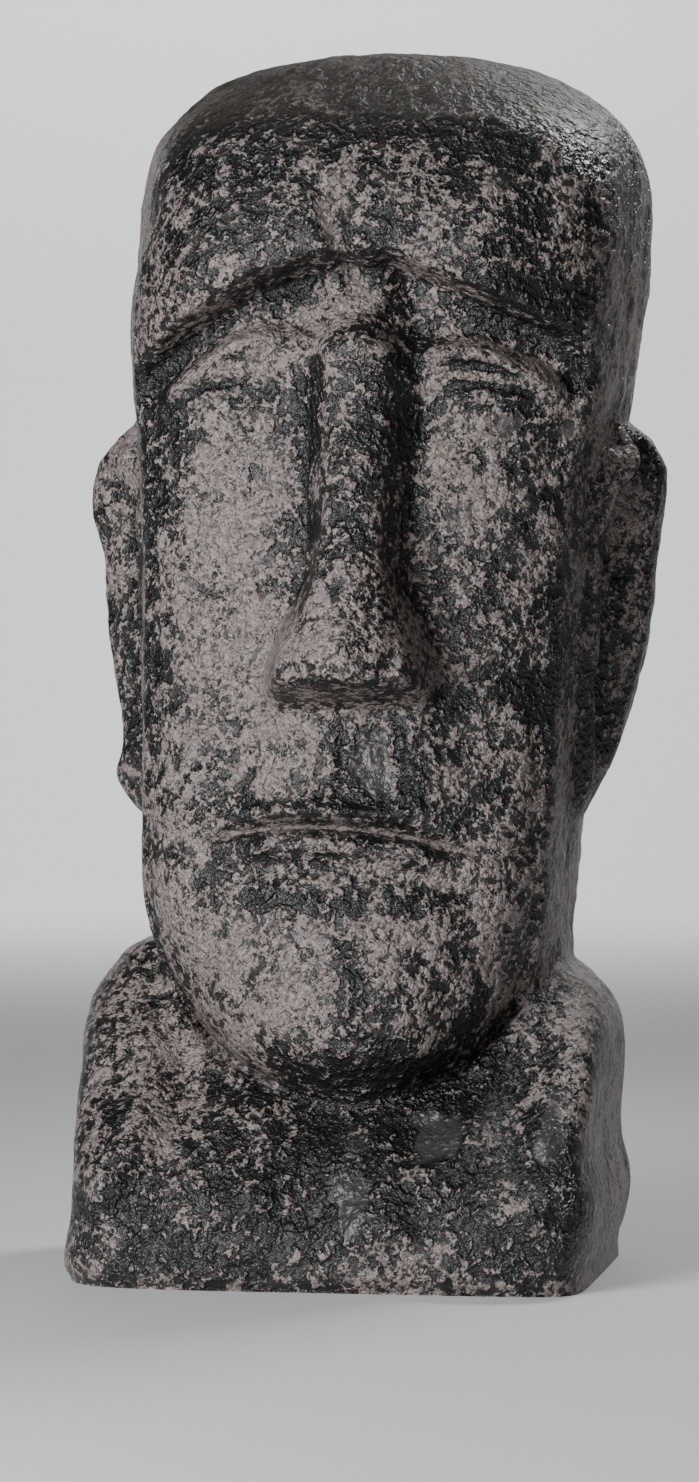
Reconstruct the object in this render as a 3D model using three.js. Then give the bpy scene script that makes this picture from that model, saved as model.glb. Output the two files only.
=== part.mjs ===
import * as THREE from 'three';

// Moai head statue: one hollow casting of stone-like cement, standing on its own flat base.
// Millimetres. X runs to the viewer's right, the face looks along -Y, Z is up.
// The casting is laid up as level rings of points, each found from a direction round the
// upright axis and a height. The block of head, neck and base comes first, and the carving
// is then added to it: forwards for the face and chest, sideways for the ears.

const HEIGHT = 563;
const COLOUR = 0x55504d;

// Skull and jaw. Knots are [height, size]; the sides differ a little, as on a hand-carved model.
const SKULL_START = 450;
const SKULL_SQUARENESS = 4.4;
const JAW_START = 178;
const JAW_DROP = 101.5;
const HEAD_CORNER = 4.8;
const JAW_CORNER = 3.2;
const CROWN_CORNER = 2.2;
const NAPE_CORNER = 2.8;
const HEAD_LEFT = [[120, 100], [178, 103.5], [354, 104], [400, 107], [425, 107.5], [450, 106], [480, 101],
  [520, 101], [538, 96], [563, 84]];
const HEAD_RIGHT = [[120, 88], [178, 89], [263, 95], [354, 99], [400, 110], [440, 114.5], [475, 120],
  [520, 124.5], [540, 119], [563, 98]];
const HEAD_REAR = [[150, 96], [203, 99], [300, 106], [391, 112], [470, 119], [563, 122]];
const HEAD_FRONT = [[78, 96], [104, 110], [150, 109], [190, 103], [230, 97], [300, 92], [390, 91],
  [440, 97], [520, 94], [563, 80]];
const HEAD_BACK = [[60, 80], [150, 92], [220, 101], [320, 106], [450, 107], [563, 104]];

// Neck, wholly behind the jaw.
const NECK_HALF = 88;
const NECK_FRONT = 66;
const NECK_TOP = 240;

// Shouldered base.
const BASE_TOP = 162;
const BASE_LEFT = [[0, 131], [8, 133.5], [45, 128.5], [95, 132.5], [120, 134.5], [140, 124], [153, 104],
  [BASE_TOP, 40]];
const BASE_RIGHT = [[0, 108], [8, 108], [20, 111], [38, 113.5], [62, 108.5], [100, 111], [120, 108.5],
  [138, 93], [150, 62], [BASE_TOP, 30]];
const BASE_FRONT = [[0, 126], [6, 130], [25, 131], [45, 125], [60, 114], [76, 97], [90, 82], [120, 63],
  [150, 44], [BASE_TOP, 30]];
const BASE_BACK = [[0, 88], [8, 92], [80, 93], [125, 88], [150, 76], [BASE_TOP, 40]];

// Carved lines of the face and chest, as [across, height] points.
const BROW = [[-100, 416], [-83, 428], [-61, 440.5], [-40, 452], [-22, 458.5], [-4, 461], [20, 461],
  [40, 453.5], [70, 440], [93, 430.5], [104, 422], [114, 404]];
const BROW_TOP = 461;
const LIDS = [[-98, 396], [-78, 410], [-55, 423], [-38, 427], [0, 425], [38, 420], [60, 419], [84, 409],
  [106, 398]];
const LID = 425;
const MOUTH = 205.5;
const FROWN = [[-14, 500], [-6, 482], [0, 464], [5, 447]];
const LEFT_SHOULDER = [[-112, 14], [-96, 38], [-84, 58], [-80, 80], [-84, 104], [-94, 124], [-100, 150]];
const RIGHT_SHOULDER = [[80, 52], [76, 72], [80, 92], [92, 116], [100, 150]];

// Nose, as [height, size] knots.
const NOSE_MIDDLE = [[258, 2.5], [300, 3.5], [350, 5.5], [410, 6.5], [437, 4]];
const NOSE_RIDGE = [[258, 30], [275, 27], [290, 22], [305, 16.5], [325, 12.5], [350, 10], [425, 12]];
const NOSE_EDGE = [[256, 40], [275, 41], [297, 35], [318, 25], [335, 24], [370, 25.5], [405, 27.5],
  [425, 26]];
const NOSE_RISE = [[256, 34], [268, 44], [280, 46], [296, 42], [335, 29.5], [365, 25], [395, 20], [437, 15]];

// Ears, as [height, outward rise] knots of the outer rim.
const EAR_MIDDLE = -8;
const LEFT_EAR = [[196, 0], [205, 9], [215, 19], [228, 25], [245, 22.5], [275, 25.5], [300, 27.5],
  [330, 28], [354, 33], [374, 28], [388, 17], [400, 2]];
const RIGHT_EAR = [[204, 0], [217, 4], [245, 14], [272, 19.5], [300, 24], [345, 25], [372, 24], [386, 14],
  [396, 1]];

// A soft step from 0 at one place to 1 at another.
function ramp(from, to, place) {
  const t = Math.min(1, Math.max(0, (place - from) / (to - from)));
  return t * t * (3 - 2 * t);
}

// A rounded hump, 1 in its middle.
function bell(distance, width) {
  return Math.exp(-((distance / width) ** 2));
}

// The larger of two sizes, with a fillet where they cross.
function filletMax(a, b, fillet) {
  return 0.5 * (a + b + Math.hypot(a - b, fillet));
}

// A smooth curve through [place, value] knots, level beyond its ends.
function profile(knots, place) {
  const last = knots.length - 1;
  if (place <= knots[0][0]) return knots[0][1];
  if (place >= knots[last][0]) return knots[last][1];
  let i = 0;
  while (knots[i + 1][0] <= place) i += 1;
  const slope = (k) => {
    if (k === 0 || k === last) return 0;
    return (knots[k + 1][1] - knots[k - 1][1]) / (knots[k + 1][0] - knots[k - 1][0]);
  };
  const span = knots[i + 1][0] - knots[i][0];
  const t = (place - knots[i][0]) / span;
  const start = (1 + 2 * t) * (1 - t) ** 2 * knots[i][1] + t * (1 - t) ** 2 * span * slope(i);
  const end = t * t * (3 - 2 * t) * knots[i + 1][1] + t * t * (t - 1) * span * slope(i + 1);
  return start + end;
}

// How far a point lies off a carved line, plus to the left of its run, and how far along it.
function offLine(x, z, points) {
  let total = 0;
  let nearest = Infinity;
  let off = 0;
  let along = 0;
  for (let i = 0; i < points.length - 1; i += 1) {
    const [ax, az] = points[i];
    const length = Math.hypot(points[i + 1][0] - ax, points[i + 1][1] - az);
    const dx = (points[i + 1][0] - ax) / length;
    const dz = (points[i + 1][1] - az) / length;
    const t = Math.min(length, Math.max(0, (x - ax) * dx + (z - az) * dz));
    const px = x - ax - t * dx;
    const pz = z - az - t * dz;
    if (Math.hypot(px, pz) < nearest) {
      nearest = Math.hypot(px, pz);
      off = nearest * Math.sign(dx * pz - dz * px);
      along = total + t;
    }
    total += length;
  }
  return { off, along: along / total };
}

// A rounded ridge along a carved line, fading at both ends; a groove where the height is below 0.
function ridge(x, z, points, width, height, fade) {
  const { off, along } = offLine(x, z, points);
  return height * bell(off, width) * ramp(0, fade, along) * ramp(1, 1 - fade, along);
}

// Distance from the axis to a rounded rectangle, in the direction (s, c).
function roundedBlock(s, c, half, depth, corner) {
  return (Math.abs(s / half) ** corner + Math.abs(c / depth) ** corner) ** (-1 / corner);
}

function headRadius(s, c, z) {
  const drop = Math.min(0.9995, Math.max(0, (JAW_START - z) / JAW_DROP));
  const jaw = Math.sqrt(1 - drop ** 2);
  const front = profile(s < 0 ? HEAD_LEFT : HEAD_RIGHT, z);
  const rear = profile(HEAD_REAR, z) + 0.45 * (front - 104);
  const half = (rear + (front - rear) * ramp(-0.25, 0.7, c)) * jaw;
  const faceCorner = HEAD_CORNER + (JAW_CORNER - HEAD_CORNER) * drop;
  const frontCorner = faceCorner + (CROWN_CORNER - faceCorner) * ramp(480, 560, z);
  const corner = c > 0 ? frontCorner : NAPE_CORNER + (frontCorner - NAPE_CORNER) * ramp(-0.5, 0, c);
  const depth = c > 0 ? profile(HEAD_FRONT, z) : profile(HEAD_BACK, z) * (0.35 + 0.65 * jaw);
  const underChin = ramp(JAW_START - JAW_DROP, JAW_START - JAW_DROP + 6, z);
  return roundedBlock(s, c, half, depth, corner) * (0.55 + 0.45 * underChin);
}

function neckRadius(s, c, z) {
  const depth = c > 0 ? NECK_FRONT : profile(HEAD_BACK, z);
  return roundedBlock(s, c, NECK_HALF, depth, 2.6) * ramp(NECK_TOP, 150, z);
}

function baseRadius(s, c, z) {
  if (z >= BASE_TOP) return 0;
  const half = profile(s < 0 ? BASE_LEFT : BASE_RIGHT, z);
  const depth = profile(c > 0 ? BASE_FRONT : BASE_BACK, z);
  const frontCorner = s > 0 ? 12 : 6;
  const lowCorner = c > 0 ? frontCorner : 4.5 + (frontCorner - 4.5) * ramp(-0.5, 0, c);
  const corner = lowCorner + (3.4 - lowCorner) * ramp(70, 140, z);
  return roundedBlock(s, c, half, depth, corner);
}

// Forward rise of the nose: a round-backed wedge under an arch, with wings at its foot.
function noseRise(x, z) {
  const across = Math.abs(x - profile(NOSE_MIDDLE, z));
  const crest = profile(NOSE_RIDGE, z);
  const edge = profile(NOSE_EDGE, z);
  const arch = 437 - 0.03 * (x - 5) ** 2;
  const flank = (1 - ramp(crest, edge, across)) ** 0.8;
  const round = 1 - 0.1 * Math.min(1.4, across / crest) ** 2;
  const under = ramp(256 - 2 * ramp(20, 40, across), 272 + 2 * ramp(14, 34, across), z);
  const tip = 2.5 * bell(across, 12) * bell(z - 283, 13) * under;
  return profile(NOSE_RISE, z) * flank * round * under * ramp(2, -15, z - arch) + tip;
}

function browAndEyes(x, z) {
  const brow = offLine(x, z, BROW);
  const outward = Math.abs(x);
  const ends = ramp(1, 0.86, brow.along) * ramp(0, 0.1, brow.along);
  const roll = ramp(-3.5, 4, brow.off) * ramp(70, 10, brow.off) * (1 - 0.72 * ramp(60, 102, outward));
  const below = ramp(2, -5, brow.off);
  const aboveLid = z - lidHeight(x);
  const hollow = ramp(-4, 9, aboveLid) * ramp(8, 26, Math.abs(x - 4)) * (1 - 0.8 * ramp(80, 108, outward));
  const glabella = bell(x - 6, 26) * bell(z - 449, 10);
  return 12 * roll * ends
    - below * (11.5 * hollow + 4 * ramp(345, 400, z) + 5 * glabella)
    + 4.8 * bell(aboveLid, 5.5) * ramp(30, 42, outward) * ramp(100, 84, outward)
    + 3 * bell(x + 42, 15) * bell(z - 438, 9)
    + ridge(x, z, [[-84, 393], [-66, 401], [-46, 403]], 6.5, 3.2, 0.3)
    + ridge(x, z, [[42, 398], [62, 399], [86, 394]], 7, 3.4, 0.3)
    + ridge(x, z, FROWN, 4.5, -5, 0.2);
}

// Heights of the carved lines at one place across.
function browHeight(x) {
  return profile(BROW, x);
}

function lidHeight(x) {
  return profile(LIDS, x);
}

function mouthHeight(x) {
  return MOUTH - 0.055 * x - 9 * Math.min(1.1, Math.abs(x + 4) / 62) ** 2;
}

// Muzzle, drooping mouth and chin boss.
function mouthAndChin(x, z) {
  const muzzle = ramp(60, 22, Math.abs(x - 4)) * ramp(205, 214, z) * ramp(272, 248, z);
  const philtrum = ramp(1.5, -1.5, x - 25) * ramp(-6, 3, x + 1) * ramp(208, 218, z) * ramp(258, 246, z);
  const off = z - mouthHeight(x);
  const width = Math.abs(x + 1);
  const boss = ramp(68, 24, Math.abs(x + 2)) * bell(z - 128, 40) * ramp(88, 106, z - 0.03 * Math.abs(x));
  return (6 + 2.5 * ramp(250, 214, z)) * muzzle - 2.2 * philtrum
    + 3.4 * bell(off - 7, 4) * ramp(62, 46, width)
    - 4.2 * bell(off, 2.4) * ramp(65, 56, width)
    + 5 * bell(off + 8, 5.6) * ramp(56, 34, Math.abs(x + 3))
    - 3 * bell(off + 19, 6) * ramp(72, 44, width)
    + 8 * boss;
}

// Each half of the face turns a little away from a soft middle keel.
function keel(x, z) {
  const slope = profile([[80, 0.3], [130, 0.24], [190, 0.13], [260, 0.1], [400, 0.07], [480, 0.02]], z);
  return slope * (Math.hypot(x, 4) - 4);
}

function faceRise(x, z) {
  const carved = browAndEyes(x, z) + noseRise(x, z) + mouthAndChin(x, z) - keel(x, z);
  return carved * (1 - 0.6 * ramp(490, 530, z));
}

// Outward rise of an ear: a tall outer rim, a hood that comes forward and down from its top,
// the hollow that the two enclose, and a lobe. The outline rounds off at both ends.
function earRise(forward, z, knots) {
  const bottom = knots[0][0];
  const top = knots[knots.length - 1][0];
  const reach = Math.min(1, Math.abs(2 * z - top - bottom) / (top - bottom));
  const f = EAR_MIDDLE + (forward - EAR_MIDDLE) / Math.max(0.7, Math.sqrt(1 - reach ** 4));
  const hoodKnots = [[bottom, 0], [bottom + 16, 6], [top - 70, 6], [top - 42, 9], [top - 22, 16], [top, 1]];
  const outerRim = profile(knots, z) * ramp(14, -10, f) * ramp(-42, -20, f);
  const hood = profile(hoodKnots, z) * bell(f - 20, 11);
  const hollow = 7 * bell(f - 1, 10) * bell(z - top + 48, 30);
  const lobe = 4 * bell(f - 4, 16) * bell(z - bottom - 30, 22);
  return outerRim + hood + lobe - hollow;
}

// Rough-hewn masses and creases on the front of the base.
function chestRise(x, z) {
  const left = offLine(x, z, LEFT_SHOULDER);
  const right = offLine(x, z, RIGHT_SHOULDER);
  return 10 * ramp(-6, 14, left.off) * ramp(16, 60, z) * ramp(150, 96, z)
    - 3 * bell(left.off, 11) * ramp(8, 24, z)
    + 10 * ramp(6, -14, right.off) * ramp(46, 80, z) * ramp(150, 96, z)
    - 4 * bell(right.off, 12) * ramp(44, 62, z)
    + ridge(x, z, [[-64, 70], [-44, 78], [-26, 80]], 13, 4, 0.3)
    + ridge(x, z, [[58, 80], [60, 66], [62, 54]], 10, 5, 0.3)
    - ridge(x, z, [[36, 80], [35, 66], [38, 50]], 11, 3, 0.3)
    + ridge(x, z, [[-50, 30], [-36, 44], [-38, 56]], 10, 4, 0.3)
    - ridge(x, z, [[-22, 56], [-12, 44], [-20, 28]], 11, 3, 0.3)
    + ridge(x, z, [[0, 34], [18, 30], [36, 40]], 10, 4, 0.3)
    + ridge(x, z, [[54, 34], [76, 40], [100, 34]], 11, 4, 0.3)
    - 4 * bell(x + 84, 11) * bell(z - 30, 11);
}

// The rings bend with the carved lines, so that their points lie along the jaw, mouth, lids and brow.
function ringHeight(direction, level) {
  const turn = Math.max(-1.2, Math.min(1.2, direction));
  const x = Math.max(-104, Math.min(104, 98 * Math.tan(turn)));
  const jaw = JAW_START - JAW_DROP * Math.sqrt(1 - Math.min(0.72, 0.92 * Math.abs(x) / 100) ** 2);
  const mouth = mouthHeight(x);
  const stops = [[0, 0], [34, 34], [78, jaw + 1], [128, 0.5 * (jaw + mouth)], [MOUTH, mouth], [256, 256],
    [272, 272], [345, 345], [LID, lidHeight(x)], [BROW_TOP, browHeight(x)], [530, 530], [HEIGHT, HEIGHT]];
  return profile(stops, level);
}

// The point of the casting for a direction round the axis (0 is straight ahead), a height,
// and the share of the full section that is left where the crown closes.
function surfacePoint(direction, level, share) {
  const s = Math.sin(direction);
  const c = Math.cos(direction);
  const z = ringHeight(direction, level);
  const head = headRadius(s, c, z);
  const neck = neckRadius(s, c, z);
  const base = baseRadius(s, c, z);
  const upper = filletMax(head, neck, z < NECK_TOP ? 3 : 0);
  const block = filletMax(upper, base, z < BASE_TOP + 10 ? 6 : 0);
  const onHead = base > 0 ? ramp(-3, 3, upper - base) : 1;
  const onFace = z < NECK_TOP ? ramp(-3, 3, head - Math.max(base, neck)) : 1;
  const x = block * s * share;
  const forward = block * c * share;
  const half = profile(s < 0 ? HEAD_LEFT : HEAD_RIGHT, z);
  const faceFront = (Math.max(0, forward) / 95) ** 3.8 / 95;
  const faceSide = (Math.abs(x) / half) ** 3.8 / half;
  const frontness = ramp(0.08, 0.7, faceFront / Math.max(1e-6, Math.hypot(faceFront, faceSide)));
  const face = faceRise(x, z) * frontness * onFace * ramp(0, 30, forward);
  const chest = chestRise(x, z) * (1 - onHead) * ramp(20, 60, forward);
  const ear = z > 180 ? earRise(forward, z, s < 0 ? LEFT_EAR : RIGHT_EAR) * ramp(0.35, 0.75, Math.abs(s)) : 0;
  return new THREE.Vector3(x + Math.sign(s) * ear, -(forward + face + chest), z);
}

// Places along a run from its first stop, each stop being [end, longest step to it].
function places(start, stops) {
  const run = [start];
  for (const [end, step] of stops) {
    const from = run[run.length - 1];
    const count = Math.max(1, Math.round(Math.abs(end - from) / step));
    for (let i = 1; i <= count; i += 1) run.push(from + ((end - from) * i) / count);
  }
  return run;
}

// Directions of the upright columns: one side of a plain block, from front to back, mirrored.
function columnDirections() {
  const front = places(0, [[45, 5], [84, 7.8], [100, 8]]).slice(0, -1).map((x) => [x, 95]);
  const side = places(95, [[42, 18], [-42, 8.4], [-100, 19]]).slice(0, -1).map((f) => [100, f]);
  const back = places(100, [[0, 33]]).map((x) => [x, -100]);
  const right = [...front, ...side, ...back].map(([x, f]) => Math.atan2(x, f));
  const left = right.slice(1, -1).map((direction) => -direction);
  return [...left.reverse(), ...right];
}

// Level and share of section of every ring, from the edge of the underside to the crown.
function ringLevels() {
  const stops = [[8, 4], [34, 9], [78, 8.8], [96, 4.5], [190, 13.5], [201, 5.5], [MOUTH, 2.3], [210, 2.3],
    [220, 5], [256, 12], [274, 4.5], [355, 20], [376, 10.5], [404, 7], [418, 7], [LID, 4], [432, 4], [455, 6],
    [467, 3], [500, 11]];
  const rise = HEIGHT - SKULL_START;
  const rings = places(0, stops).map((level) => {
    const t = Math.max(0, (level - SKULL_START) / rise);
    return { level, share: Math.sqrt(1 - t ** SKULL_SQUARENESS) };
  });
  const top = (rings[rings.length - 1].level - SKULL_START) / rise;
  const closing = places(Math.asin(top ** (SKULL_SQUARENESS / 2)), [[Math.PI / 2, 0.17]]).slice(1, -1);
  for (const turn of closing) {
    const level = SKULL_START + rise * Math.sin(turn) ** (2 / SKULL_SQUARENESS);
    rings.push({ level, share: Math.cos(turn) });
  }
  return rings;
}

// The closed skin: rings joined by triangles, with a fan on the underside and one on the crown.
function castingGeometry() {
  const directions = columnDirections();
  const rings = ringLevels();
  const columns = directions.length;
  const points = rings.flatMap(({ level, share }) => directions.map((d) => surfacePoint(d, level, share)));
  const under = points.push(new THREE.Vector3(0, 0, 0)) - 1;
  const crown = points.push(new THREE.Vector3(0, 0, HEIGHT)) - 1;
  const faces = [];
  for (let column = 0; column < columns; column += 1) {
    const next = (column + 1) % columns;
    for (let ring = 0; ring < rings.length - 1; ring += 1) {
      const low = ring * columns;
      const high = low + columns;
      faces.push(low + column, low + next, high + next, low + column, high + next, high + column);
    }
    const last = (rings.length - 1) * columns;
    faces.push(under, next, column, crown, last + column, last + next);
  }
  const geometry = new THREE.BufferGeometry().setFromPoints(points);
  geometry.setIndex(faces);
  return geometry;
}

// Sets the underside at Z = 0 with the part's box centred over the origin.
function centreOnBase(geometry) {
  geometry.computeBoundingBox();
  const { min, max } = geometry.boundingBox;
  geometry.translate(-(min.x + max.x) / 2, -(min.y + max.y) / 2, -min.z);
  geometry.computeVertexNormals();
  return geometry;
}

function stoneMaterial() {
  return new THREE.MeshStandardMaterial({ color: COLOUR, roughness: 0.6, metalness: 0 });
}

function moaiHead() {
  const casting = new THREE.Mesh(centreOnBase(castingGeometry()), stoneMaterial());
  casting.name = 'moai_head';
  const statue = new THREE.Group();
  statue.name = 'moai_statue';
  statue.add(casting);
  return statue;
}

export default moaiHead();
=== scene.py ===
import math

import bmesh
import bpy
import numpy as np
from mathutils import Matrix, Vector, noise


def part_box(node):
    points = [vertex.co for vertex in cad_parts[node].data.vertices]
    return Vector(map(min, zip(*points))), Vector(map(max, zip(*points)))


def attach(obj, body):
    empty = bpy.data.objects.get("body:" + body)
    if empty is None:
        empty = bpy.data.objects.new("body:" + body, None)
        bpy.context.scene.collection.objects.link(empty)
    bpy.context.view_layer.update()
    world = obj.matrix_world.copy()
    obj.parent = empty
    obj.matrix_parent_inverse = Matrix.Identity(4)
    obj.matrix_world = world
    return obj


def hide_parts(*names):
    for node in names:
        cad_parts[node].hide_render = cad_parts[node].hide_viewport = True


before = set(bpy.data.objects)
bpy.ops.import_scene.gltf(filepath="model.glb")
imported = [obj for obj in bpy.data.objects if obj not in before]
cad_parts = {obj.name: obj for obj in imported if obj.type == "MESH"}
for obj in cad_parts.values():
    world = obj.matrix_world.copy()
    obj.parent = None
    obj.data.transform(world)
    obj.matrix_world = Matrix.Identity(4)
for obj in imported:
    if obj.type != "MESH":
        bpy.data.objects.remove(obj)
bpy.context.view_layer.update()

# ---------------------------------------------------------------------------------------------
# The moai: head, neck and base cast in one, a hollow shell from a mould taken off a hand-carved model.
# The block comes first, in level rings round the upright axis; the carving is added to it after.
# Sizes are in millimetres: x to the viewer's right, f forwards (the world's -Y), z up.

HEIGHT, SKULL_START, CROWN_START, SKULL_SQUARENESS = 563, 450, 505, 4.4
JAW_START, JAW_DROP, NECK_TOP, BASE_TOP = 178, 101.5, 240, 162
BROW_TOP, LID, MOUTH, EAR_MIDDLE = 461, 425, 205.5, -8

HEAD_LEFT = [(120, 100), (178, 103.5), (354, 104), (400, 107), (425, 107.5), (450, 106), (480, 101), (520, 101),
             (538, 96), (563, 84)]
HEAD_RIGHT = [(120, 88), (178, 89), (263, 95), (354, 99), (400, 110), (440, 114.5), (475, 120), (520, 124.5),
              (540, 119), (563, 98)]
HEAD_REAR = [(150, 96), (203, 99), (300, 106), (391, 112), (470, 119), (563, 122)]
HEAD_FRONT = [(78, 96), (104, 110), (150, 109), (190, 103), (230, 97), (300, 92), (390, 91), (440, 97), (520, 94),
              (563, 80)]
HEAD_BACK = [(60, 80), (150, 92), (220, 101), (320, 106), (450, 107), (563, 104)]
BASE_LEFT = [(0, 131), (8, 133.5), (45, 128.5), (95, 132.5), (120, 134.5), (140, 124), (153, 104), (162, 40)]
BASE_RIGHT = [(0, 108), (8, 108), (20, 111), (38, 113.5), (62, 108.5), (100, 111), (120, 108.5), (138, 93), (150, 62),
              (162, 30)]
BASE_FRONT = [(0, 126), (6, 130), (25, 131), (45, 125), (60, 114), (76, 97), (90, 82), (120, 63), (150, 44), (162, 30)]
BASE_BACK = [(0, 88), (8, 92), (80, 93), (125, 88), (150, 76), (162, 40)]
BROW = [(-100, 416), (-83, 428), (-61, 440.5), (-40, 452), (-22, 458.5), (-4, 461), (20, 461),
        (40, 453.5), (70, 440), (93, 430.5), (104, 422), (114, 404)]
LIDS = [(-98, 396), (-78, 410), (-55, 423), (-38, 427), (0, 425), (38, 420), (60, 419), (84, 409), (106, 398)]
LEFT_EAR = [(196, 0), (205, 9), (215, 19), (228, 25), (245, 22.5), (275, 25.5), (300, 27.5), (330, 28), (354, 33),
            (374, 28), (388, 17), (400, 2)]
RIGHT_EAR = [(204, 0), (217, 4), (245, 14), (272, 19.5), (300, 24), (345, 25), (372, 24), (386, 14), (396, 1)]


def ramp(start, end, place):
    """A soft step from 0 to 1."""
    t = np.clip((place - start) / (end - start), 0, 1)
    return t * t * (3 - 2 * t)


def bell(distance, width):
    return np.exp(-((distance / width) ** 2))


def profile(knots, place):
    """A smooth curve through (place, value) knots, level beyond its ends."""
    at, value = np.array(knots, float).T
    slope = np.zeros(len(at))
    slope[1:-1] = (value[2:] - value[:-2]) / (at[2:] - at[:-2])
    place = np.clip(place, at[0], at[-1])
    i = np.clip(np.searchsorted(at, place, side="right") - 1, 0, len(at) - 2)
    span = at[i + 1] - at[i]
    t = (place - at[i]) / span
    start = (1 + 2 * t) * (1 - t) ** 2 * value[i] + t * (1 - t) ** 2 * span * slope[i]
    return start + t * t * (3 - 2 * t) * value[i + 1] + t * t * (t - 1) * span * slope[i + 1]


def off_line(x, z, points):
    """How far off a carved line (plus to the left of its run) and how far along it, 0 to 1."""
    nearest = np.full(np.shape(x), np.inf)
    off, along, total = np.zeros_like(nearest), np.zeros_like(nearest), 0.0
    for (ax, az), (bx, bz) in zip(points[:-1], points[1:]):
        length = math.hypot(bx - ax, bz - az)
        dx, dz = (bx - ax) / length, (bz - az) / length
        t = np.clip((x - ax) * dx + (z - az) * dz, 0, length)
        px, pz = x - ax - t * dx, z - az - t * dz
        gap = np.hypot(px, pz)
        closer = gap < nearest
        nearest = np.where(closer, gap, nearest)
        off = np.where(closer, gap * np.sign(dx * pz - dz * px), off)
        along = np.where(closer, total + t, along)
        total += length
    return off, along / total


def ridge(x, z, points, width, height, fade=0.3):
    """A rounded ridge along a line, fading at both ends; a groove where the height is below 0."""
    off, along = off_line(x, z, points)
    return height * bell(off, width) * ramp(0, fade, along) * ramp(1, 1 - fade, along)


def fillet_max(a, b, fillet):
    return 0.5 * (a + b + np.hypot(a - b, fillet))


def rounded_block(s, c, half, depth, corner):
    return (np.abs(s / half) ** corner + np.abs(c / depth) ** corner) ** (-1 / corner)


def head_half(s, z):
    return np.where(s < 0, profile(HEAD_LEFT, z), profile(HEAD_RIGHT, z))


def head_radius(s, c, z):
    drop = np.clip((JAW_START - z) / JAW_DROP, 0, 0.9995)
    jaw = np.sqrt(1 - drop**2)
    front = head_half(s, z)
    rear = profile(HEAD_REAR, z) + 0.45 * (front - 104)
    half = (rear + (front - rear) * ramp(-0.25, 0.7, c)) * jaw
    front_corner = 4.8 + (3.2 - 4.8) * drop
    front_corner = front_corner + (2.2 - front_corner) * ramp(480, 560, z)
    corner = np.where(c > 0, front_corner, 2.8 + (front_corner - 2.8) * ramp(-0.5, 0, c))
    depth = np.where(c > 0, profile(HEAD_FRONT, z), profile(HEAD_BACK, z) * (0.35 + 0.65 * jaw))
    under_chin = ramp(JAW_START - JAW_DROP, JAW_START - JAW_DROP + 6, z)
    return rounded_block(s, c, half, depth, corner) * (0.55 + 0.45 * under_chin)


def neck_radius(s, c, z):
    depth = np.where(c > 0, 66, profile(HEAD_BACK, z))
    return rounded_block(s, c, 88, depth, 2.6) * ramp(NECK_TOP, 150, z)


def base_radius(s, c, z):
    half = np.where(s < 0, profile(BASE_LEFT, z), profile(BASE_RIGHT, z))
    depth = np.where(c > 0, profile(BASE_FRONT, z), profile(BASE_BACK, z))
    front_corner = np.where(s > 0, 12.0, 6.0)
    low_corner = np.where(c > 0, front_corner, 4.5 + (front_corner - 4.5) * ramp(-0.5, 0, c))
    corner = low_corner + (3.4 - low_corner) * ramp(70, 140, z)
    return np.where(z < BASE_TOP, rounded_block(s, c, half, depth, corner), 0)


def nose_rise(x, z):
    """A round-backed wedge under an arch, with wings at its foot."""
    across = np.abs(x - profile([(258, 2.5), (300, 3.5), (350, 5.5), (410, 6.5), (437, 4)], z))
    crest = profile([(258, 30), (275, 27), (290, 22), (305, 16.5), (325, 12.5), (350, 10), (425, 12)], z)
    edge = profile([(256, 40), (275, 41), (297, 35), (318, 25), (335, 24), (370, 25.5), (405, 27.5), (425, 26)], z)
    rise = profile([(256, 34), (268, 44), (280, 46), (296, 42), (335, 29.5), (365, 25), (395, 20), (437, 15)], z)
    arch = 437 - 0.03 * (x - 5) ** 2
    flank = (1 - ramp(crest, edge, across)) ** 0.8
    back = 1 - 0.1 * np.minimum(1.4, across / crest) ** 2
    under = ramp(256 - 2 * ramp(20, 40, across), 272 + 2 * ramp(14, 34, across), z)
    tip = 2.5 * bell(across, 12) * bell(z - 283, 13) * under
    crease = ridge(across, z, [(19, 309), (23.5, 292), (24, 279), (17, 268)], 4.2, -3, 0.2)
    return rise * flank * back * under * ramp(2, -15, z - arch) + tip + crease


def brow_and_eyes(x, z):
    off, along = off_line(x, z, BROW)
    outward = np.abs(x)
    roll = ramp(-3.5, 4, off) * ramp(70, 10, off) * (1 - 0.72 * ramp(60, 102, outward))
    ends = ramp(1, 0.86, along) * ramp(0, 0.1, along)
    below = ramp(2, -5, off)
    above_lid = z - profile(LIDS, x)
    hollow = ramp(-4, 9, above_lid) * ramp(8, 26, np.abs(x - 4)) * (1 - 0.8 * ramp(80, 108, outward))
    glabella = bell(x - 6, 26) * bell(z - 449, 10)
    return (12 * roll * ends - below * (11.5 * hollow + 4 * ramp(345, 400, z) + 5 * glabella)
            + 4.8 * bell(above_lid, 5.5) * ramp(30, 42, outward) * ramp(100, 84, outward)
            + 3 * bell(x + 42, 15) * bell(z - 438, 9)
            + ridge(x, z, [(-84, 393), (-66, 401), (-46, 403)], 6.5, 3.2)
            + ridge(x, z, [(42, 398), (62, 399), (86, 394)], 7, 3.4)
            + ridge(x, z, [(-14, 500), (-6, 482), (0, 464), (5, 447)], 4.5, -5, 0.2))


def mouth_height(x):
    return MOUTH - 0.055 * x - 9 * np.minimum(1.1, np.abs(x + 4) / 62) ** 2


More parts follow.
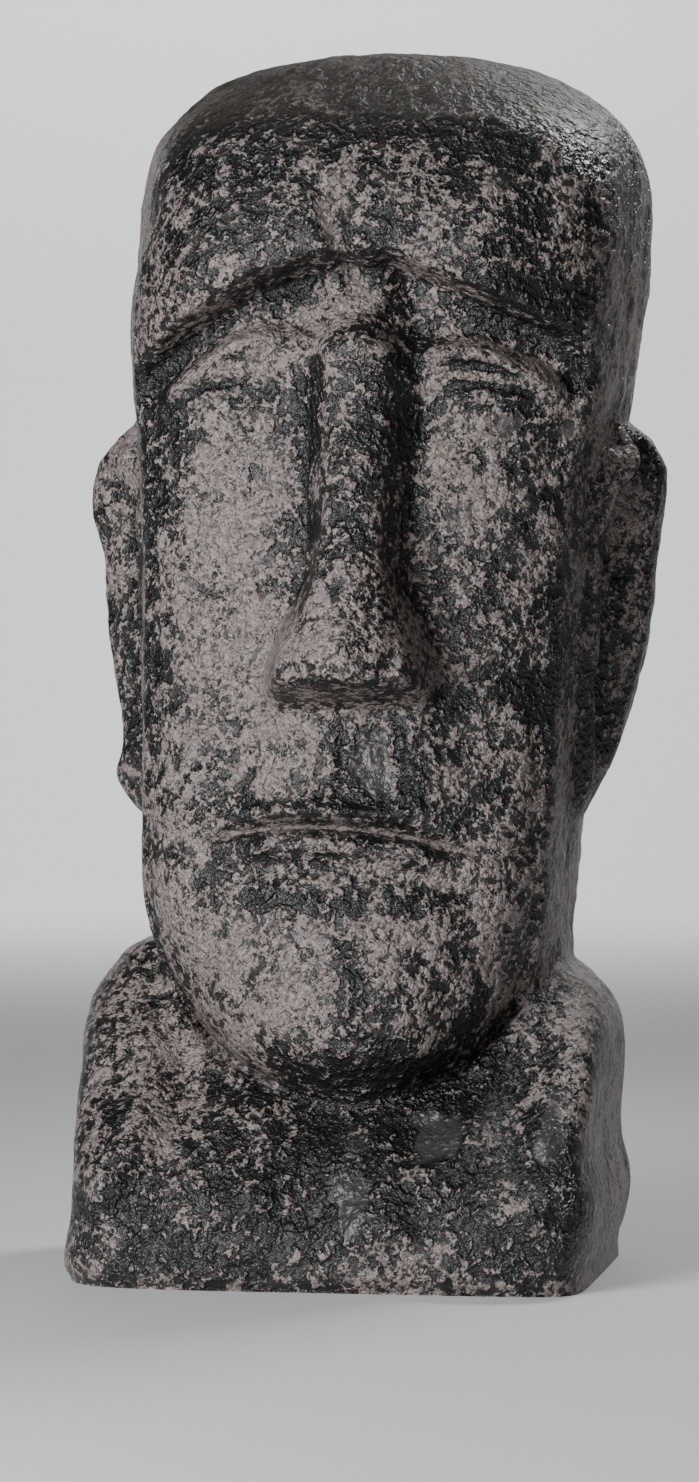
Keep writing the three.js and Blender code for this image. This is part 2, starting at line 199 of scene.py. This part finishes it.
def mouth_and_chin(x, z):
    muzzle = ramp(60, 22, np.abs(x - 4)) * ramp(205, 214, z) * ramp(272, 248, z)
    philtrum = ramp(1.5, -1.5, x - 25) * ramp(-6, 3, x + 1) * ramp(208, 218, z) * ramp(258, 246, z)
    off, width = z - mouth_height(x), np.abs(x + 1)
    boss = ramp(68, 24, np.abs(x + 2)) * bell(z - 128, 40) * ramp(88, 106, z - 0.03 * np.abs(x))
    return ((6 + 2.5 * ramp(250, 214, z)) * muzzle - 2.2 * philtrum
            + 3.4 * bell(off - 7, 4) * ramp(62, 46, width) - 4.2 * bell(off, 2.4) * ramp(65, 56, width)
            + 5 * bell(off + 8, 5.6) * ramp(56, 34, np.abs(x + 3)) - 3 * bell(off + 19, 6) * ramp(72, 44, width)
            + 8 * boss)


def face_rise(x, z):
    keel = profile([(80, 0.3), (130, 0.24), (190, 0.13), (260, 0.1), (400, 0.07), (480, 0.02)], z)
    carved = brow_and_eyes(x, z) + nose_rise(x, z) + mouth_and_chin(x, z) - keel * (np.hypot(x, 4) - 4)
    return carved * (1 - 0.6 * ramp(490, 530, z))


def ear_rise(forward, z, knots):
    """A tall outer rim, a hood that comes forward and down from its top, a hollow and a lobe."""
    bottom, top = knots[0][0], knots[-1][0]
    reach = np.minimum(1, np.abs(2 * z - top - bottom) / (top - bottom))
    f = EAR_MIDDLE + (forward - EAR_MIDDLE) / np.maximum(0.7, np.sqrt(1 - reach**4))
    hood = profile([(bottom, 0), (bottom + 16, 6), (top - 70, 6), (top - 42, 9), (top - 22, 16), (top, 1)], z)
    rim = profile(knots, z) * ramp(14, -10, f) * ramp(-42, -20, f)
    hollow = 7 * bell(f - 1, 10) * bell(z - top + 48, 30)
    return rim + hood * bell(f - 20, 11) + 4 * bell(f - 4, 16) * bell(z - bottom - 30, 22) - hollow


def chest_rise(x, z):
    """Rough-hewn masses and creases on the front of the base."""
    left, _ = off_line(x, z, [(-112, 14), (-96, 38), (-84, 58), (-80, 80), (-84, 104), (-94, 124), (-100, 150)])
    right, _ = off_line(x, z, [(80, 52), (76, 72), (80, 92), (92, 116), (100, 150)])
    return (10 * ramp(-6, 14, left) * ramp(16, 60, z) * ramp(150, 96, z) - 3 * bell(left, 11) * ramp(8, 24, z)
            + 10 * ramp(6, -14, right) * ramp(46, 80, z) * ramp(150, 96, z) - 4 * bell(right, 12) * ramp(44, 62, z)
            + ridge(x, z, [(-64, 70), (-44, 78), (-26, 80)], 13, 4)
            + ridge(x, z, [(58, 80), (60, 66), (62, 54)], 10, 5)
            - ridge(x, z, [(36, 80), (35, 66), (38, 50)], 11, 3)
            + ridge(x, z, [(-50, 30), (-36, 44), (-38, 56)], 10, 4)
            - ridge(x, z, [(-22, 56), (-12, 44), (-20, 28)], 11, 3)
            + ridge(x, z, [(0, 34), (18, 30), (36, 40)], 10, 4)
            + ridge(x, z, [(54, 34), (76, 40), (100, 34)], 11, 4)
            - 4 * bell(x + 84, 11) * bell(z - 30, 11))


def ring_height(direction, level):
    """The rings bend with the carved lines, so that their points lie along jaw, mouth, lids and brow."""
    x = np.clip(98 * np.tan(np.clip(direction, -1.2, 1.2)), -104, 104)
    jaw = JAW_START - JAW_DROP * np.sqrt(1 - np.minimum(0.72, 0.92 * np.abs(x) / 100) ** 2)
    mouth, lid, brow = mouth_height(x), profile(LIDS, x), profile(BROW, x)
    bent = np.empty(len(direction))
    for i in range(len(direction)):
        stops = [(0, 0), (34, 34), (78, jaw[i] + 1), (128, 0.5 * (jaw[i] + mouth[i])), (MOUTH, mouth[i]),
                 (256, 256), (272, 272), (345, 345), (LID, lid[i]), (BROW_TOP, brow[i]), (530, 530),
                 (HEIGHT, HEIGHT)]
        bent[i] = profile(stops, level)
    return bent


def surface(direction, z, share):
    """Points of the casting for directions round the axis, heights and shares of the full section."""
    s, c = np.sin(direction), np.cos(direction)
    head, neck, base = head_radius(s, c, z), neck_radius(s, c, z), base_radius(s, c, z)
    upper = fillet_max(head, neck, np.where(z < NECK_TOP, 3, 0))
    block = fillet_max(upper, base, np.where(z < BASE_TOP + 10, 6, 0))
    on_head = np.where(base > 0, ramp(-3, 3, upper - base), 1)
    on_face = np.where(z < NECK_TOP, ramp(-3, 3, head - np.maximum(base, neck)), 1)
    x, f = block * s * share, block * c * share
    half = head_half(s, z)
    face_front = (np.maximum(0, f) / 95) ** 3.8 / 95
    face_side = (np.abs(x) / half) ** 3.8 / half
    frontness = ramp(0.08, 0.7, face_front / np.maximum(1e-6, np.hypot(face_front, face_side)))
    face = face_rise(x, z) * frontness * on_face * ramp(0, 30, f)
    chest = chest_rise(x, z) * (1 - on_head) * ramp(20, 60, f)
    ear = np.where(s < 0, ear_rise(f, z, LEFT_EAR), ear_rise(f, z, RIGHT_EAR)) * ramp(0.35, 0.75, np.abs(s))
    ear = np.where(z > 180, ear, 0)
    return x + np.sign(s) * ear, f + face + chest, z


def places(start, stops):
    """Places along a run, each stop being (end, longest step to it)."""
    run = [start]
    for end, step in stops:
        first, count = run[-1], max(1, round(abs(end - run[-1]) / step))
        run += [first + (end - first) * (i + 1) / count for i in range(count)]
    return run


# Columns of points, closest on the face; rings, closest at the mouth, nose foot, lids and brow.
outline = [(x, 95) for x in places(0, [(84, 1.55), (100, 2)])[:-1]]
outline += [(100, f) for f in places(95, [(60, 2), (-42, 2.3), (-100, 4)])[:-1]]
outline += [(x, -100) for x in places(100, [(0, 7)])]
right_side = [math.atan2(x, f) for x, f in outline]
directions = np.array([-d for d in reversed(right_side)] + right_side[1:])
rings = [(0, share) for share in places(0, [(1, 0.12)])[:-1]]
skull_rise = HEIGHT - SKULL_START
for level in places(0, [(8, 2), (34, 2.4), (190, 2.1), (222, 1.5), (252, 2.2), (280, 1.4), (385, 2.5), (470, 1.6),
                        (CROWN_START, 2.2)]):
    up = max(0, (level - SKULL_START) / skull_rise)
    rings.append((level, math.sqrt(1 - up**SKULL_SQUARENESS)))
start_turn = math.asin(((CROWN_START - SKULL_START) / skull_rise) ** (SKULL_SQUARENESS / 2))
for turn in places(start_turn, [(math.pi / 2, 0.032)])[1:]:
    rings.append((SKULL_START + skull_rise * math.sin(turn) ** (2 / SKULL_SQUARENESS), max(0, math.cos(turn))))

# One sheet is rolled round the axis, then its seam, its underside and its crown are closed.
sheet = bmesh.new()
bmesh.ops.create_grid(sheet, x_segments=len(directions) - 1, y_segments=len(rings) - 1, size=1)
levels = np.array([ring_height(directions, level) for level, share in rings])
shares = np.array([[share] for level, share in rings]) * np.ones(len(directions))
turned = np.ones((len(rings), 1)) * directions
px, pf, pz = surface(turned, levels, shares)
for vert in sheet.verts:
    i = round((vert.co.y + 1) / 2 * (len(rings) - 1))
    j = round((vert.co.x + 1) / 2 * (len(directions) - 1))
    vert.co = (px[i, j] / 1000, -pf[i, j] / 1000, pz[i, j] / 1000)
bmesh.ops.remove_doubles(sheet, verts=sheet.verts, dist=2e-6)
bmesh.ops.recalc_face_normals(sheet, faces=sheet.faces)
moai_mesh = bpy.data.meshes.new("moai")
sheet.to_mesh(moai_mesh)
sheet.free()
moai = bpy.data.objects.new("moai", moai_mesh)
bpy.context.scene.collection.objects.link(moai)

# The skin of the casting: broad unevenness of the hand-carved model, lumps and pits of the stone
# texture along the surface's own normals, and the sharp tool lines of eyes, nose and mouth.
count = len(moai_mesh.vertices)
at = np.empty(count * 3)
moai_mesh.vertices.foreach_get("co", at)
at = at.reshape(count, 3)
normal = np.empty(count * 3)
moai_mesh.vertex_normals.foreach_get("vector", normal)
normal = normal.reshape(count, 3)
x, f, z = at[:, 0] * 1000, at[:, 1] * -1000, at[:, 2] * 1000
facing = ramp(0.15, 0.6, -normal[:, 1])
rough = ramp(1.0, 9.0, z) * ramp(-0.98, -0.8, normal[:, 2])


def field(scale, octaves, seed):
    """Fractal noise at every vertex, features about `scale` metres across."""
    offset = Vector((seed * 3.7, seed * 1.9, seed * 5.3))
    return np.array([noise.fractal(Vector(p) / scale + offset, 1.0, 2.1, octaves) for p in at])


def wrinkles(scale, seed):
    """Rounded worm-like lumps, about `scale` metres apart."""
    offset = Vector((seed * 2.3, seed * 4.1, seed * 1.3))
    return np.array([1 - abs(2.2 * noise.noise(Vector(p) / scale + offset)) for p in at])


broad = field(0.055, 2, 1)
lumps = field(0.016, 3, 2)
worms = wrinkles(0.0095, 3)
back = ramp(0.2, 0.7, normal[:, 1])
relief = (0.9 * broad + 0.75 * lumps + 0.4 * (worms - 0.6)) * rough * (1 - 0.35 * back)

mouth_off = z - mouth_height(x)
mouth_span = ramp(67, 58, np.abs(x + 1))
above_base = np.where(z > 180, 1, 0)
FROWN_GROOVE = [(-12, 490), (-7, 476), (-1, 461), (5, 440)]
carve = (
    -2.4 * bell(mouth_off, 1.3) * mouth_span
    + 1.2 * bell(mouth_off - 1.2, 1.1) * mouth_span
    + ridge(x, z, [(-80, 397), (-67, 404.5), (-46, 407)], 1.5, -2.0)
    + ridge(x, z, [(-84, 404), (-66, 411), (-44, 414)], 1.6, 1.2)
    + ridge(x, z, [(42, 404), (64, 404), (90, 398)], 1.5, -2.2)
    + ridge(x, z, [(38, 412), (56, 413.5), (80, 407)], 1.6, -1.6)
    + ridge(x, z, [(38, 408.5), (58, 408.5), (84, 403)], 1.8, 1.2)
    + ridge(x, z, [(48, 391), (64, 394), (92, 393)], 2.0, -1.2)
    + ridge(x, z, [(26.5, 254), (25, 238), (28, 213)], 1.6, -2.2, 0.15)
    + ridge(x, z, [(-2, 252), (-1, 236), (-3, 216)], 1.8, -1.0, 0.2)
    + ridge(x, z, FROWN_GROOVE, 4.5, -1.6, 0.4)
)
relief = relief + carve * facing * above_base
at += normal * relief[:, None] / 1000

# The piece is centred on the solid's box, and the camera is moved by the same shift.
low = np.array(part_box("moai_head")[0])
high = np.array(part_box("moai_head")[1])
axis = ((low + high) / 2 - (at.min(0) + at.max(0)) / 2)[:2]
at[:, :2] += axis
at = np.clip(at, low, high)
moai_mesh.vertices.foreach_set("co", at.ravel())


def paint_layer(name, values):
    """Stores one number per vertex for the material to read."""
    layer = moai_mesh.attributes.new(name, "FLOAT", "POINT")
    layer.data.foreach_set("value", np.asarray(values, dtype=np.float32))


def daubs(strokes):
    """Soft ragged patches on the front, each (across, height, half-width, half-height, strength)."""
    total = np.zeros(count)
    for across, height, wide, tall, strength in strokes:
        off_x, off_z = (x + 5 * lumps - across) / wide, (z + 5 * broad - height) / tall
        total += strength * np.exp(-np.hypot(off_x, off_z) ** 3)
    return total * facing


brow_off, _ = off_line(x, z, BROW)
# Painted shade: a band just below the brow line, where the overhang throws its shadow, takes brushing away.
under_brow_shade = bell(brow_off + 6, 7) * facing
lids = bell(z - profile(LIDS, x) - 1, 6) * ramp(28, 40, np.abs(x)) * ramp(100, 84, np.abs(x)) * facing
# How thick the brushing lies, partly painted light: lighter patches on the planes turned to the left-front key light
# (left cheek, left of the upper lip, nose tip, left of the chin) are a painted sheen, and darker bands under the nose,
# the upper lip, the lower lip and the chin and down the sides of the face are painted shade; the other patches, the
# lid ridges and the raised lumps follow the brushing itself.
brushing_with_painted_light = daubs([
    (-58, 300, 34, 105, 0.34), (-36, 130, 36, 40, 0.65), (58, 290, 34, 100, 0.32),
    (-60, 500, 34, 30, -0.1), (-24, 233, 20, 22, 0.6),
    (-10, 292, 14, 24, 0.8), (-112, 80, 26, 60, 0.1), (0, 528, 120, 24, -0.5), (55, 480, 45, 26, -0.25),
    (-28, 300, 6, 22, -0.5), (-5, 174, 62, 7, -0.8), (5, 92, 60, 9, -0.7), (40, 130, 40, 40, 0.1),
    (-60, 30, 60, 20, -0.1), (-95, 300, 6, 110, -0.6), (94, 250, 9, 90, -1.0), (4, 265, 38, 5, -1.0),
    (-18, 372, 6, 55, -0.9), (30, 375, 8, 58, -0.9), (-10, 214, 50, 4, -0.6), (60, 70, 60, 45, -0.5),
    (-20, 60, 60, 50, -0.35), (75, 440, 40, 14, -0.6),
]) - 0.8 * under_brow_shade
pink = daubs([
    (2, 441, 20, 9, 0.8), (-27, 425, 9, 12, 0.7), (42, 427, 10, 10, 0.5), (-42, 440, 16, 8, 0.45),
]) + (ridge(x, z, FROWN_GROOVE, 5.0, 1.0, 0.1)
      + bell(mouth_off, 1.6) * mouth_span * above_base) * facing
dust = ramp(0.25, 0.85, normal[:, 2]) * ramp(505, 540, z)
smooth = daubs([
    (12, 232, 11, 17, 1.0), (42, 68, 13, 12, 1.0), (5, 40, 12, 18, 0.9), (94, 68, 8, 18, 1.0),
    (72, 386, 6, 6, 0.8), (98, 386, 6, 6, 0.8), (50, 345, 9, 14, 0.7), (-10, 478, 4, 12, 0.6),
])
paint_layer("brushing_with_painted_light", brushing_with_painted_light + 0.7 * lids + 0.7 * relief * rough)
paint_layer("pink", np.clip(pink, 0, 1))
paint_layer("dust", dust)
paint_layer("smooth", np.clip(smooth, 0, 1))
for polygon in moai_mesh.polygons:
    polygon.use_smooth = True


# The finish: the casting is sprayed satin black, then dry-brushed with pinkish-grey stone colour that
# catches the high lumps, stays solid in a few wiped hollows, and leaves some flats plain grey.
stone = bpy.data.materials.new("painted_stone")
stone.use_nodes = True
tree = stone.node_tree
tree.nodes.clear()


class Field:
    """One socket of the material; arithmetic on it adds the nodes that work it out."""

    def __init__(self, socket):
        self.socket = socket

    def maths(self, operation, *others):
        return node("ShaderNodeMath", {"operation": operation}, [self, *others])

    def __add__(self, other): return self.maths("ADD", other)
    def __sub__(self, other): return self.maths("SUBTRACT", other)
    def __mul__(self, other): return self.maths("MULTIPLY", other)
    def __rsub__(self, other): return node("ShaderNodeMath", {"operation": "SUBTRACT"}, [other, self])
    __radd__ = __add__
    __rmul__ = __mul__

    def between(self, low, high):
        """0 below one value, 1 above the other, soft between."""
        return node("ShaderNodeMapRange", {"interpolation_type": "SMOOTHSTEP"}, [self, low, high, 0.0, 1.0])


def node(kind, settings, values, out=0):
    """Adds a node, makes its settings, and sets or links its inputs (a list in order, or by name)."""
    made = tree.nodes.new(kind)
    for name, value in settings.items():
        setattr(made, name, value)
    pairs = values.items() if isinstance(values, dict) else enumerate(values)
    for key, value in pairs:
        if isinstance(value, Field):
            tree.links.new(value.socket, made.inputs[key])
        else:
            made.inputs[key].default_value = value
    return Field(made.outputs[out]) if made.outputs else None


def layer(name):
    return node("ShaderNodeAttribute", {"attribute_name": name}, {}, "Fac")


def mix(share, first, second):
    """Between two colours by a share."""
    return node("ShaderNodeMix", {"data_type": "RGBA"}, {0: share, 6: first, 7: second}, 2)


def cloud(where, scale, detail=3.0, roughness=0.55, distortion=0.0):
    return node("ShaderNodeTexNoise", {}, {"Vector": where, "Scale": scale, "Detail": detail,
                                           "Roughness": roughness, "Distortion": distortion}, "Fac")


DRIFT, SKIN_DEPTH = 0.005, 0.0021  # metres: the bend of the paint pattern, the height of the skin's grain
object_place = node("ShaderNodeTexCoord", {}, {}, "Object")
place = node("ShaderNodeMapping", {}, {"Vector": object_place, "Rotation": (0.6, 0.75, 0.4)})
drift = node("ShaderNodeTexNoise", {}, {"Vector": place, "Scale": 160.0, "Detail": 2.0}, "Color")
shift = node("ShaderNodeVectorMath", {"operation": "SUBTRACT"}, [drift, (0.5, 0.5, 0.5)])
bent = node("ShaderNodeVectorMath", {"operation": "MULTIPLY_ADD"}, [shift, (DRIFT,) * 3, place])
nodules = cloud(bent, 230.0, 2.0, 0.5)
crumbs = cloud(bent, 420.0, 3.0, 0.7)
specks = cloud(place, 1000.0, 2.0, 0.6)
clusters = cloud(place, 70.0, 2.0, 0.5, 0.5)
coverage = cloud(place, 18.0, 2.0, 0.5)
# This layer carries painted light as well as the brushing: its painted sheen and painted shade lighten or darken both
# the black ground and the brushing worked out below.
brushing_with_painted_light = layer("brushing_with_painted_light")
dust = layer("dust")

flats = (layer("smooth") + (clusters - 0.5) * 1.6).between(0.35, 0.75)
nodule_tops = nodules.between(0.40, 0.66)
skin_height = nodule_tops * 0.5 + crumbs * 0.55 + specks * 0.16
raised = (nodules * 0.55 + crumbs * 0.55 + specks * 0.2 + (clusters - 0.5) * 0.30
          + (coverage - 0.5) * 0.25 + brushing_with_painted_light * 0.13)
brushed = raised.between(0.64, 0.70) * (1.0 - flats * 0.75)
wiped = (layer("pink") + (crumbs - 0.5) * 1.8 + (clusters - 0.5) * 0.8).between(0.4, 0.8)
light_paint = node("ShaderNodeMath", {"operation": "MAXIMUM"}, [brushed, wiped * 0.85])

BLACK = (0.005, 0.0048, 0.0048, 1)
SOOT = (0.022, 0.0205, 0.020, 1)
STONE = (0.27, 0.222, 0.21, 1)
DUSKY = (0.08, 0.062, 0.058, 1)
FLAT_GREY = (0.032, 0.031, 0.031, 1)
BROWN = (0.032, 0.026, 0.022, 1)
ground = mix((clusters * 0.7 + crumbs * 0.3 + brushing_with_painted_light * 0.2).between(0.4, 0.62), BLACK, SOOT)
ground = mix(flats, ground, FLAT_GREY)
top = mix((specks * 0.6 + crumbs * 0.5).between(0.42, 0.68), DUSKY, STONE)
colour = mix(dust * 0.75, mix(light_paint, ground, top), BROWN)
sheen = 0.28 + light_paint * 0.10 + (specks - 0.5) * 0.2 + dust * 0.3
bump = node("ShaderNodeBump", {}, {"Strength": 1.0, "Distance": SKIN_DEPTH,
                                   "Height": skin_height * (1.0 - flats * 0.6)}, "Normal")
shader = node("ShaderNodeBsdfPrincipled", {}, {"Base Color": colour, "Roughness": sheen, "Normal": bump,
                                               "Specular IOR Level": 0.5}, "BSDF")
node("ShaderNodeOutputMaterial", {}, {"Surface": shader})
moai_mesh.materials.append(stone)
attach(moai, "root")
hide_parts("moai_head")

# ---------------------------------------------------------------------------------------------
# Studio: one pale sweep, level under the statue and curving up into a wall far enough behind it
# for the statue to be seen from all sides; a tall softbox at the left front is the main light.
SWEEP_FRONT, SWEEP_BACK, SWEEP_CURVE, SWEEP_TOP, SWEEP_HALF = -7.0, 4.8, 1.0, 4.5, 7.0
sweep = bmesh.new()
corner = [sweep.verts.new((-SWEEP_HALF, SWEEP_FRONT, 0)), sweep.verts.new((SWEEP_HALF, SWEEP_FRONT, 0))]
edge = sweep.edges.new(corner)
level_run = bmesh.ops.extrude_edge_only(sweep, edges=[edge])
moved = [v for v in level_run["geom"] if isinstance(v, bmesh.types.BMVert)]
bmesh.ops.translate(sweep, verts=moved, vec=(0, SWEEP_BACK - SWEEP_FRONT, 0))
last = [e for e in level_run["geom"] if isinstance(e, bmesh.types.BMEdge)]
bmesh.ops.spin(sweep, geom=last + moved, cent=(0, SWEEP_BACK, SWEEP_CURVE), axis=(1, 0, 0),
               angle=math.pi / 2, steps=24)
ends = [v for v in sweep.verts if v.co.z > SWEEP_CURVE - 1e-4]
ending = [e for e in sweep.edges if e.verts[0] in ends and e.verts[1] in ends]
wall = bmesh.ops.extrude_edge_only(sweep, edges=ending)
bmesh.ops.translate(sweep, verts=[v for v in wall["geom"] if isinstance(v, bmesh.types.BMVert)],
                    vec=(0, 0, SWEEP_TOP - SWEEP_CURVE))
sweep_mesh = bpy.data.meshes.new("sweep")
sweep.to_mesh(sweep_mesh)
sweep.free()
for polygon in sweep_mesh.polygons:
    polygon.use_smooth = True
backdrop = bpy.data.objects.new("sweep", sweep_mesh)
bpy.context.scene.collection.objects.link(backdrop)
paper = bpy.data.materials.new("paper")
paper.use_nodes = True
paper.node_tree.nodes["Principled BSDF"].inputs["Base Color"].default_value = (0.74, 0.74, 0.745, 1)
paper.node_tree.nodes["Principled BSDF"].inputs["Roughness"].default_value = 0.75
sweep_mesh.materials.append(paper)

world = bpy.data.worlds.new("studio")
bpy.context.scene.world = world
world.use_nodes = True
world.node_tree.nodes["Background"].inputs["Color"].default_value = (1.0, 0.98, 0.96, 1)
world.node_tree.nodes["Background"].inputs["Strength"].default_value = 0.05


def softbox(name, position, target, wide, tall, power):
    """A rectangular soft light turned towards a point of the statue."""
    lamp = bpy.data.lights.new(name, "AREA")
    lamp.shape = "RECTANGLE"
    lamp.size, lamp.size_y, lamp.energy = wide, tall, power
    holder = bpy.data.objects.new(name, lamp)
    holder.location = position
    holder.rotation_euler = (Vector(target) - Vector(position)).to_track_quat("-Z", "Y").to_euler()
    bpy.context.scene.collection.objects.link(holder)


softbox("key_left", (-0.66, -1.38, 0.50), (0, 0, 0.32), 0.66, 1.1, 38)
softbox("back_right", (0.42, 0.62, 1.25), (0.08, 0, 0.53), 0.28, 0.28, 9)
softbox("overhead", (0.0, -0.3, 1.7), (0, 0, 0.3), 0.9, 0.6, 1.5)
softbox("fill_right", (1.5, -1.0, 0.5), (0, 0, 0.3), 0.6, 1.0, 1.5)
softbox("backdrop_light", (-1.2, 3.6, 2.9), (-1.2, 5.6, 0.8), 2.6, 0.8, 142)

# Camera: level with the upper lip, a little to the viewer's right of straight ahead.
CAMERA_TURN, CAMERA_DISTANCE, CAMERA_HEIGHT, CAMERA_ASIDE = math.radians(9.5), 2.09, 0.2443, -0.01435
camera = bpy.data.objects.new("camera", bpy.data.cameras.new("camera"))
camera.data.sensor_width = 36
camera.data.lens = 108
turn_cos, turn_sin = math.cos(CAMERA_TURN), math.sin(CAMERA_TURN)
camera.location = (axis[0] + CAMERA_DISTANCE * turn_sin + CAMERA_ASIDE * turn_cos,
                   axis[1] - CAMERA_DISTANCE * turn_cos + CAMERA_ASIDE * turn_sin, CAMERA_HEIGHT)
camera.rotation_euler = (math.pi / 2, 0, CAMERA_TURN)
bpy.context.scene.collection.objects.link(camera)
bpy.context.scene.camera = camera
